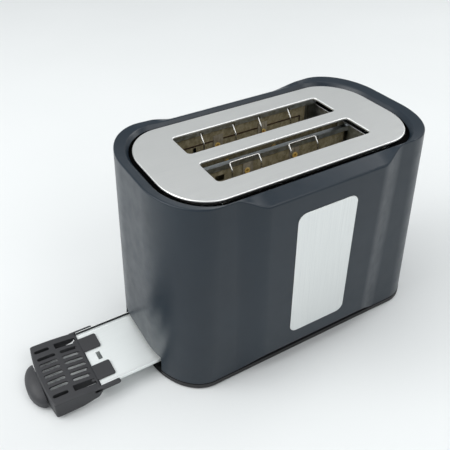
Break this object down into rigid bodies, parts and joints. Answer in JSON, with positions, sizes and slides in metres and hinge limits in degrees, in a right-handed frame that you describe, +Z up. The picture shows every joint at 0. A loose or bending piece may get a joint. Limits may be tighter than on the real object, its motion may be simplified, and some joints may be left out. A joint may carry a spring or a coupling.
{
  "type": "pop up toaster",
  "caption": "Pop-up toaster with bulged dark shell, recessed aluminium top with bread slots, pull-out crumb tray, sprung lever carriage, browning knob and push buttons.",
  "frame": {"origin": "on the worktop, under the centre of the body (midway between the two bread slots and their ends)", "axes": "+X along the bread slots towards the lever and controls, -X towards the crumb tray, -Y towards the side with the badge, +Z up"},
  "size_m": [0.376, 0.1527, 0.177],
  "materials": {
    "shell_plastic": "satin moulded dark slate grey",
    "brushed_aluminium": "brushed along the length",
    "badge_aluminium": "brushed up and down",
    "base_plastic": "matte black",
    "foot_rubber": "matte",
    "zinc_steel": "galvanised",
    "dark_sheet": "heat-toned galvanised",
    "mica": "layered mica board",
    "mica_strip": "layered mica strip",
    "nichrome": "dark heated ribbon",
    "brass": "stamped",
    "wire_steel": "drawn bright wire",
    "handle_plastic": "fine matte grain",
    "control_plastic": "satin",
    "panel_black": "gloss black",
    "coil_copper": "enamelled copper winding",
    "board_green": "solder mask",
    "terminal_white": "ceramic-filled moulding"
  },
  "bodies": {
    "chassis": {"outer_shell": "shell_plastic", "top_plate": "brushed_aluminium", "badge_plate": "badge_aluminium", "base_plate": "base_plastic", "feet": "foot_rubber", "base_screws": "zinc_steel", "left_end_frame": "zinc_steel", "right_end_frame": "zinc_steel", "front_heat_shield": "zinc_steel", "rear_heat_shield": "zinc_steel", "mica_board_front_outer": "mica", "mica_board_front_inner": "mica", "mica_board_rear_inner": "mica", "mica_board_rear_outer": "mica", "heating_wire_front_outer": "nichrome", "heating_wire_front_inner": "nichrome", "heating_wire_rear_inner": "nichrome", "heating_wire_rear_outer": "nichrome", "upper_rail_front_outer": "zinc_steel", "upper_rail_front_inner": "zinc_steel", "upper_rail_rear_inner": "zinc_steel", "upper_rail_rear_outer": "zinc_steel", "lower_rail_front_outer": "zinc_steel", "lower_rail_front_inner": "zinc_steel", "lower_rail_rear_inner": "zinc_steel", "lower_rail_rear_outer": "zinc_steel", "guard_wires_front_outer": "wire_steel", "guard_wires_front_inner": "wire_steel", "guard_wires_rear_inner": "wire_steel", "guard_wires_rear_outer": "wire_steel", "mica_strips": "mica_strip", "eyelets": "brass", "guide_rod": "wire_steel", "rod_bracket": "dark_sheet", "return_spring": "wire_steel", "magnet_coil": "coil_copper", "magnet_core": "dark_sheet", "control_board": "board_green", "potentiometer": "dark_sheet", "button_switches": "base_plastic", "terminal_block": "terminal_white", "frame_screws": "zinc_steel", "control_panel": "panel_black", "cord_gland": "base_plastic"},
    "carriage": {"carriage_slider": "handle_plastic", "bread_rack_front": "zinc_steel", "bread_rack_rear": "zinc_steel", "lever_arm": "dark_sheet", "lever_knob": "control_plastic", "keeper_plate": "zinc_steel"},
    "crumb_tray": {"tray_plate": "zinc_steel", "tray_handle": "handle_plastic"},
    "browning_control": {"browning_knob": "control_plastic"},
    "cancel_key": {"cancel_button": "control_plastic"},
    "reheat_key": {"reheat_button": "control_plastic"},
    "defrost_key": {"defrost_button": "control_plastic"}
  },
  "joints": [
    {"name": "carriage_slide", "type": "slide", "parent": "chassis", "child": "carriage", "axis": [0, 0, 1], "range_m": [-0.052, 0], "stiffness_N_per_m": 110, "springref_m": 0.03, "deforming": ["return_spring"]},
    {"name": "tray_slide", "type": "slide", "parent": "chassis", "child": "crumb_tray", "axis": [1, 0, 0], "range_m": [-0.135, 0.0885]},
    {"name": "browning_turn", "type": "hinge", "parent": "chassis", "child": "browning_control", "pos_m": [0.13, 0, 0.047], "axis": [1, 0, 0], "range_deg": [-135, 135]},
    {"name": "cancel_press", "type": "slide", "parent": "chassis", "child": "cancel_key", "axis": [-1, 0, 0], "range_m": [0, 0.002], "stiffness_N_per_m": 300, "springref_m": -0.001},
    {"name": "reheat_press", "type": "slide", "parent": "chassis", "child": "reheat_key", "axis": [-1, 0, 0], "range_m": [0, 0.002], "stiffness_N_per_m": 300, "springref_m": -0.001},
    {"name": "defrost_press", "type": "slide", "parent": "chassis", "child": "defrost_key", "axis": [-1, 0, 0], "range_m": [0, 0.002], "stiffness_N_per_m": 300, "springref_m": -0.001}
  ]
}
